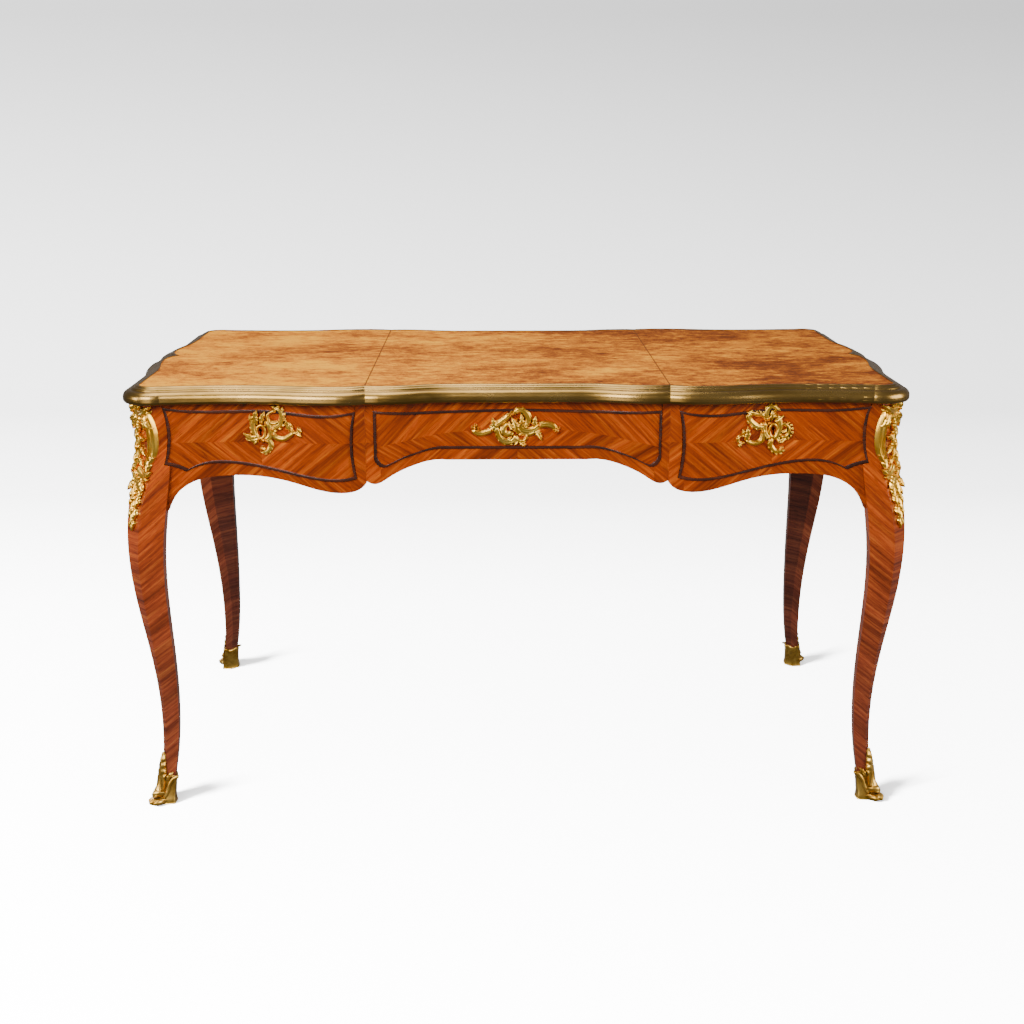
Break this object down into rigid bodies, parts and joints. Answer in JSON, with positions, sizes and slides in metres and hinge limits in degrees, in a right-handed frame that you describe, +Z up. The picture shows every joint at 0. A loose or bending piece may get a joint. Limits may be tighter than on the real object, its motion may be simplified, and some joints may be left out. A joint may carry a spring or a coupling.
{
  "type": "bureau plat",
  "caption": "Serpentine writing table with a leather top in a moulded brass edge, veneered drawers over a knee space, and cabriole legs with gilt corner mounts and shoes.",
  "frame": {"origin": "on the floor under the middle of the top", "axes": "+Z up, front towards -Y, +X to the right as seen from the front"},
  "size_m": [1.3562, 0.7102, 0.76],
  "materials": {
    "veneer": "tulipwood and kingwood veneer, French polished",
    "carcass_oak": "plain sawn oak",
    "drawer_oak": "planed oak, waxed",
    "dark_bead": "dark stained and polished",
    "leather": "aged honey skiver",
    "edge_brass": "aged, satin polished",
    "gilt_bronze": "chased and gilt",
    "lock_brass": "filed brass",
    "bolt_steel": "filed steel"
  },
  "bodies": {
    "frame": {"back_apron": "veneer", "back_beads": "dark_bead", "back_mounts": "gilt_bronze", "chute_back_left": "gilt_bronze", "chute_back_right": "gilt_bronze", "chute_front_left": "gilt_bronze", "chute_front_right": "gilt_bronze", "drawer_runners": "carcass_oak", "edge_back": "edge_brass", "edge_back_left": "edge_brass", "edge_back_right": "edge_brass", "edge_front": "edge_brass", "edge_front_left": "edge_brass", "edge_front_right": "edge_brass", "end_apron_left": "veneer", "end_apron_right": "veneer", "end_beads": "dark_bead", "front_rail_centre": "veneer", "front_rail_left": "veneer", "front_rail_right": "veneer", "leather_centre": "leather", "leather_left": "leather", "leather_right": "leather", "leg_back_left": "veneer", "leg_back_right": "veneer", "leg_front_left": "veneer", "leg_front_right": "veneer", "partition_left": "carcass_oak", "partition_right": "carcass_oak", "sabot_back_left": "gilt_bronze", "sabot_back_right": "gilt_bronze", "sabot_front_left": "gilt_bronze", "sabot_front_right": "gilt_bronze", "stile_left": "veneer", "stile_right": "veneer", "top_board": "carcass_oak"},
    "centre_drawer": {"centre_drawer_back": "drawer_oak", "centre_drawer_bead": "dark_bead", "centre_drawer_bottom": "drawer_oak", "centre_drawer_front": "veneer", "centre_drawer_lock": "lock_brass", "centre_drawer_mount": "gilt_bronze", "centre_drawer_sides": "drawer_oak"},
    "centre_bolt": {"centre_drawer_bolt": "bolt_steel"},
    "left_drawer": {"left_drawer_back": "drawer_oak", "left_drawer_bead": "dark_bead", "left_drawer_bottom": "drawer_oak", "left_drawer_front": "veneer", "left_drawer_lock": "lock_brass", "left_drawer_mount": "gilt_bronze", "left_drawer_sides": "drawer_oak"},
    "left_bolt": {"left_drawer_bolt": "bolt_steel"},
    "right_drawer": {"right_drawer_back": "drawer_oak", "right_drawer_bead": "dark_bead", "right_drawer_bottom": "drawer_oak", "right_drawer_front": "veneer", "right_drawer_lock": "lock_brass", "right_drawer_mount": "gilt_bronze", "right_drawer_sides": "drawer_oak"},
    "right_bolt": {"right_drawer_bolt": "bolt_steel"}
  },
  "joints": [
    {"name": "left_drawer_slide", "type": "slide", "parent": "frame", "child": "left_drawer", "axis": [0, -1, 0], "range_m": [0, 0.34]},
    {"name": "centre_drawer_slide", "type": "slide", "parent": "frame", "child": "centre_drawer", "axis": [0, -1, 0], "range_m": [0, 0.34]},
    {"name": "right_drawer_slide", "type": "slide", "parent": "frame", "child": "right_drawer", "axis": [0, -1, 0], "range_m": [0, 0.34]},
    {"name": "left_bolt_slide", "type": "slide", "parent": "left_drawer", "child": "left_bolt", "axis": [0, 0, 1], "range_m": [0, 0.007]},
    {"name": "centre_bolt_slide", "type": "slide", "parent": "centre_drawer", "child": "centre_bolt", "axis": [0, 0, 1], "range_m": [0, 0.007]},
    {"name": "right_bolt_slide", "type": "slide", "parent": "right_drawer", "child": "right_bolt", "axis": [0, 0, 1], "range_m": [0, 0.007]}
  ]
}
